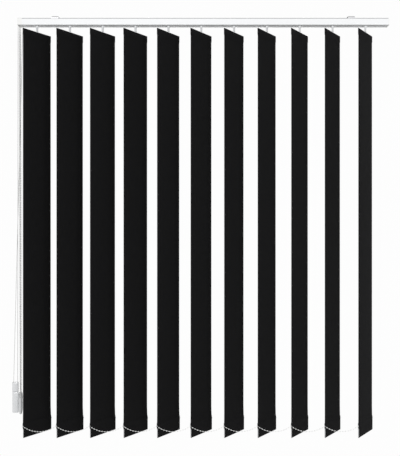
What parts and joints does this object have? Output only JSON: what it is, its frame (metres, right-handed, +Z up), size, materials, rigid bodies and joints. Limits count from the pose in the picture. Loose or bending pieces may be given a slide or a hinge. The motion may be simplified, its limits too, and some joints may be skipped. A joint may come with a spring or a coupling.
{
  "type": "vertical blind",
  "caption": "Ceiling-mounted vertical blind: a slim white headrail, black fabric slats joined by a bottom bead chain, with a draw cord and a tilt chain.",
  "frame": {"origin": "on the ceiling plane, midway between the two brackets' screw holes", "axes": "+Z up, +X along the headrail away from the control end, the room is on the -Y side"},
  "size_m": [1.3217, 0.1134, 1.4658],
  "materials": {
    "rail_white": "satin",
    "white_plastic": "satin",
    "weight_plastic": "gloss",
    "carrier_plastic": "satin",
    "grey_plastic": "satin",
    "fitting_plastic": "satin",
    "bracket_steel": "zinc plated",
    "aluminium": "drawn",
    "cord": "braided",
    "slat_fabric": "woven blackout cloth"
  },
  "bodies": {
    "rail": {"headrail": "rail_white", "control_end_cap": "white_plastic", "return_end_cap": "white_plastic", "bracket_left": "bracket_steel", "bracket_right": "bracket_steel", "carrier_stop": "white_plastic", "carrier_01": "carrier_plastic", "draw_cord_inside": "cord", "draw_cord": "cord", "cord_weight": "weight_plastic", "tilt_chain": "white_plastic", "chain_weight": "weight_plastic"},
    "tilt_drive": {"tilt_rod": "aluminium", "chain_wheel": "white_plastic"},
    "front_guide": {"front_guide_pulley": "grey_plastic"},
    "rear_guide": {"rear_guide_pulley": "grey_plastic"},
    "return_wheel": {"return_pulley": "grey_plastic"},
    "carrier_11": {"carrier_11": "carrier_plastic"},
    "carrier_10": {"carrier_10": "carrier_plastic"},
    "carrier_09": {"carrier_09": "carrier_plastic"},
    "carrier_08": {"carrier_08": "carrier_plastic"},
    "carrier_07": {"carrier_07": "carrier_plastic"},
    "carrier_06": {"carrier_06": "carrier_plastic"},
    "carrier_05": {"carrier_05": "carrier_plastic"},
    "carrier_04": {"carrier_04": "carrier_plastic"},
    "carrier_03": {"carrier_03": "carrier_plastic"},
    "carrier_02": {"carrier_02": "carrier_plastic"},
    "slat_01": {"slat_01": "slat_fabric", "slat_fittings_01": "fitting_plastic"},
    "slat_02": {"slat_02": "slat_fabric", "slat_fittings_02": "fitting_plastic"},
    "slat_03": {"slat_03": "slat_fabric", "slat_fittings_03": "fitting_plastic"},
    "slat_04": {"slat_04": "slat_fabric", "slat_fittings_04": "fitting_plastic"},
    "slat_05": {"slat_05": "slat_fabric", "slat_fittings_05": "fitting_plastic"},
    "slat_06": {"slat_06": "slat_fabric", "slat_fittings_06": "fitting_plastic"},
    "slat_07": {"slat_07": "slat_fabric", "slat_fittings_07": "fitting_plastic"},
    "slat_08": {"slat_08": "slat_fabric", "slat_fittings_08": "fitting_plastic"},
    "slat_09": {"slat_09": "slat_fabric", "slat_fittings_09": "fitting_plastic"},
    "slat_10": {"slat_10": "slat_fabric", "slat_fittings_10": "fitting_plastic"},
    "slat_11": {"slat_11": "slat_fabric", "slat_fittings_11": "fitting_plastic"},
    "bottom_chain_01": {"bottom_chain_01": "white_plastic"},
    "bottom_chain_02": {"bottom_chain_02": "white_plastic"},
    "bottom_chain_03": {"bottom_chain_03": "white_plastic"},
    "bottom_chain_04": {"bottom_chain_04": "white_plastic"},
    "bottom_chain_05": {"bottom_chain_05": "white_plastic"},
    "bottom_chain_06": {"bottom_chain_06": "white_plastic"},
    "bottom_chain_07": {"bottom_chain_07": "white_plastic"},
    "bottom_chain_08": {"bottom_chain_08": "white_plastic"},
    "bottom_chain_09": {"bottom_chain_09": "white_plastic"},
    "bottom_chain_10": {"bottom_chain_10": "white_plastic"}
  },
  "joints": [
    {"name": "traverse", "type": "slide", "parent": "rail", "child": "carrier_11", "axis": [-1, 0, 0], "range_m": [0, 0.965], "deforming": ["bottom_chain_01", "bottom_chain_02", "bottom_chain_03", "bottom_chain_04", "bottom_chain_05", "bottom_chain_06", "bottom_chain_07", "bottom_chain_08", "bottom_chain_09", "bottom_chain_10"]},
    {"name": "carrier_10_slide", "type": "slide", "parent": "rail", "child": "carrier_10", "axis": [-1, 0, 0], "range_m": [0, 0.869]},
    {"name": "carrier_09_slide", "type": "slide", "parent": "rail", "child": "carrier_09", "axis": [-1, 0, 0], "range_m": [0, 0.7725]},
    {"name": "carrier_08_slide", "type": "slide", "parent": "rail", "child": "carrier_08", "axis": [-1, 0, 0], "range_m": [0, 0.676]},
    {"name": "carrier_07_slide", "type": "slide", "parent": "rail", "child": "carrier_07", "axis": [-1, 0, 0], "range_m": [0, 0.5795]},
    {"name": "carrier_06_slide", "type": "slide", "parent": "rail", "child": "carrier_06", "axis": [-1, 0, 0], "range_m": [0, 0.483]},
    {"name": "carrier_05_slide", "type": "slide", "parent": "rail", "child": "carrier_05", "axis": [-1, 0, 0], "range_m": [0, 0.3865]},
    {"name": "carrier_04_slide", "type": "slide", "parent": "rail", "child": "carrier_04", "axis": [-1, 0, 0], "range_m": [0, 0.29]},
    {"name": "carrier_03_slide", "type": "slide", "parent": "rail", "child": "carrier_03", "axis": [-1, 0, 0], "range_m": [0, 0.1935]},
    {"name": "carrier_02_slide", "type": "slide", "parent": "rail", "child": "carrier_02", "axis": [-1, 0, 0], "range_m": [0, 0.097]},
    {"name": "tilt", "type": "hinge", "parent": "rail", "child": "slat_01", "pos_m": [-0.5845, 0, -0.03], "axis": [0, 0, 1], "range_deg": [-44, 114]},
    {"name": "slat_02_tilt", "type": "hinge", "parent": "carrier_02", "child": "slat_02", "pos_m": [-0.469, 0, -0.03], "axis": [0, 0, 1], "range_deg": [-44.5, 114.5]},
    {"name": "slat_03_tilt", "type": "hinge", "parent": "carrier_03", "child": "slat_03", "pos_m": [-0.3535, 0, -0.03], "axis": [0, 0, 1], "range_deg": [-44.5, 114.5]},
    {"name": "slat_04_tilt", "type": "hinge", "parent": "carrier_04", "child": "slat_04", "pos_m": [-0.238, 0, -0.03], "axis": [0, 0, 1], "range_deg": [-44.5, 114.5]},
    {"name": "slat_05_tilt", "type": "hinge", "parent": "carrier_05", "child": "slat_05", "pos_m": [-0.1225, 0, -0.03], "axis": [0, 0, 1], "range_deg": [-44.5, 114.5]},
    {"name": "slat_06_tilt", "type": "hinge", "parent": "carrier_06", "child": "slat_06", "pos_m": [-0.007, 0, -0.03], "axis": [0, 0, 1], "range_deg": [-44.5, 114.5]},
    {"name": "slat_07_tilt", "type": "hinge", "parent": "carrier_07", "child": "slat_07", "pos_m": [0.1085, 0, -0.03], "axis": [0, 0, 1], "range_deg": [-44.5, 114.5]},
    {"name": "slat_08_tilt", "type": "hinge", "parent": "carrier_08", "child": "slat_08", "pos_m": [0.224, 0, -0.03], "axis": [0, 0, 1], "range_deg": [-44.5, 114.5]},
    {"name": "slat_09_tilt", "type": "hinge", "parent": "carrier_09", "child": "slat_09", "pos_m": [0.3395, 0, -0.03], "axis": [0, 0, 1], "range_deg": [-44.5, 114.5]},
    {"name": "slat_10_tilt", "type": "hinge", "parent": "carrier_10", "child": "slat_10", "pos_m": [0.455, 0, -0.03], "axis": [0, 0, 1], "range_deg": [-44.5, 114.5]},
    {"name": "slat_11_tilt", "type": "hinge", "parent": "carrier_11", "child": "slat_11", "pos_m": [0.5705, 0, -0.03], "axis": [0, 0, 1], "range_deg": [-44.5, 114.5]},
    {"name": "bottom_chain_01_swing", "type": "hinge", "parent": "slat_01", "child": "bottom_chain_01", "pos_m": [-0.62226, -0.05413, -1.4243], "axis": [0, 0, 1], "range_deg": [-114.5, 44.5]},
    {"name": "bottom_chain_02_swing", "type": "hinge", "parent": "slat_02", "child": "bottom_chain_02", "pos_m": [-0.50676, -0.05413, -1.4243], "axis": [0, 0, 1], "range_deg": [-114.5, 44.5]},
    {"name": "bottom_chain_03_swing", "type": "hinge", "parent": "slat_03", "child": "bottom_chain_03", "pos_m": [-0.39126, -0.05413, -1.4243], "axis": [0, 0, 1], "range_deg": [-114.5, 44.5]},
    {"name": "bottom_chain_04_swing", "type": "hinge", "parent": "slat_04", "child": "bottom_chain_04", "pos_m": [-0.27576, -0.05413, -1.4243], "axis": [0, 0, 1], "range_deg": [-114.5, 44.5]},
    {"name": "bottom_chain_05_swing", "type": "hinge", "parent": "slat_05", "child": "bottom_chain_05", "pos_m": [-0.16026, -0.05413, -1.4243], "axis": [0, 0, 1], "range_deg": [-114.5, 44.5]},
    {"name": "bottom_chain_06_swing", "type": "hinge", "parent": "slat_06", "child": "bottom_chain_06", "pos_m": [-0.04476, -0.05413, -1.4243], "axis": [0, 0, 1], "range_deg": [-114.5, 44.5]},
    {"name": "bottom_chain_07_swing", "type": "hinge", "parent": "slat_07", "child": "bottom_chain_07", "pos_m": [0.07074, -0.05413, -1.4243], "axis": [0, 0, 1], "range_deg": [-114.5, 44.5]},
    {"name": "bottom_chain_08_swing", "type": "hinge", "parent": "slat_08", "child": "bottom_chain_08", "pos_m": [0.18624, -0.05413, -1.4243], "axis": [0, 0, 1], "range_deg": [-114.5, 44.5]},
    {"name": "bottom_chain_09_swing", "type": "hinge", "parent": "slat_09", "child": "bottom_chain_09", "pos_m": [0.30174, -0.05413, -1.4243], "axis": [0, 0, 1], "range_deg": [-114.5, 44.5]},
    {"name": "bottom_chain_10_swing", "type": "hinge", "parent": "slat_10", "child": "bottom_chain_10", "pos_m": [0.41724, -0.05413, -1.4243], "axis": [0, 0, 1], "range_deg": [-114.5, 44.5]},
    {"name": "rod_spin", "type": "hinge", "parent": "rail", "child": "tilt_drive", "pos_m": [-0.6, 0, -0.01925], "axis": [1, 0, 0], "range_deg": [-356, 916]},
    {"name": "front_guide_spin", "type": "hinge", "parent": "rail", "child": "front_guide", "pos_m": [-0.6426, -0.012, -0.0179], "axis": [0, 1, 0], "range_deg": [-9376.3, 0]},
    {"name": "rear_guide_spin", "type": "hinge", "parent": "rail", "child": "rear_guide", "pos_m": [-0.6301, 0.012, -0.0179], "axis": [0, 1, 0], "range_deg": [0, 9376.3]},
    {"name": "return_wheel_spin", "type": "hinge", "parent": "rail", "child": "return_wheel", "pos_m": [0.6315, 0, -0.012], "axis": [0, 0, 1], "range_deg": [0, 4612.5]}
  ],
  "couplings": [
    {"joint": "carrier_10_slide", "follows": "traverse", "ratio": 0.9},
    {"joint": "carrier_09_slide", "follows": "traverse", "ratio": 0.8},
    {"joint": "carrier_08_slide", "follows": "traverse", "ratio": 0.7},
    {"joint": "carrier_07_slide", "follows": "traverse", "ratio": 0.6},
    {"joint": "carrier_06_slide", "follows": "traverse", "ratio": 0.5},
    {"joint": "carrier_05_slide", "follows": "traverse", "ratio": 0.4},
    {"joint": "carrier_04_slide", "follows": "traverse", "ratio": 0.3},
    {"joint": "carrier_03_slide", "follows": "traverse", "ratio": 0.2},
    {"joint": "carrier_02_slide", "follows": "traverse", "ratio": 0.1},
    {"joint": "slat_02_tilt", "follows": "tilt", "ratio": 1},
    {"joint": "slat_03_tilt", "follows": "tilt", "ratio": 1},
    {"joint": "slat_04_tilt", "follows": "tilt", "ratio": 1},
    {"joint": "slat_05_tilt", "follows": "tilt", "ratio": 1},
    {"joint": "slat_06_tilt", "follows": "tilt", "ratio": 1},
    {"joint": "slat_07_tilt", "follows": "tilt", "ratio": 1},
    {"joint": "slat_08_tilt", "follows": "tilt", "ratio": 1},
    {"joint": "slat_09_tilt", "follows": "tilt", "ratio": 1},
    {"joint": "slat_10_tilt", "follows": "tilt", "ratio": 1},
    {"joint": "slat_11_tilt", "follows": "tilt", "ratio": 1},
    {"joint": "bottom_chain_01_swing", "follows": "tilt", "ratio": -1},
    {"joint": "bottom_chain_02_swing", "follows": "tilt", "ratio": -1},
    {"joint": "bottom_chain_03_swing", "follows": "tilt", "ratio": -1},
    {"joint": "bottom_chain_04_swing", "follows": "tilt", "ratio": -1},
    {"joint": "bottom_chain_05_swing", "follows": "tilt", "ratio": -1},
    {"joint": "bottom_chain_06_swing", "follows": "tilt", "ratio": -1},
    {"joint": "bottom_chain_07_swing", "follows": "tilt", "ratio": -1},
    {"joint": "bottom_chain_08_swing", "follows": "tilt", "ratio": -1},
    {"joint": "bottom_chain_09_swing", "follows": "tilt", "ratio": -1},
    {"joint": "bottom_chain_10_swing", "follows": "tilt", "ratio": -1},
    {"joint": "rod_spin", "follows": "tilt", "ratio": 8},
    {"joint": "front_guide_spin", "follows": "traverse", "rad_per_m": -169.49},
    {"joint": "rear_guide_spin", "follows": "traverse", "rad_per_m": 169.49},
    {"joint": "return_wheel_spin", "follows": "traverse", "rad_per_m": 83.333}
  ]
}
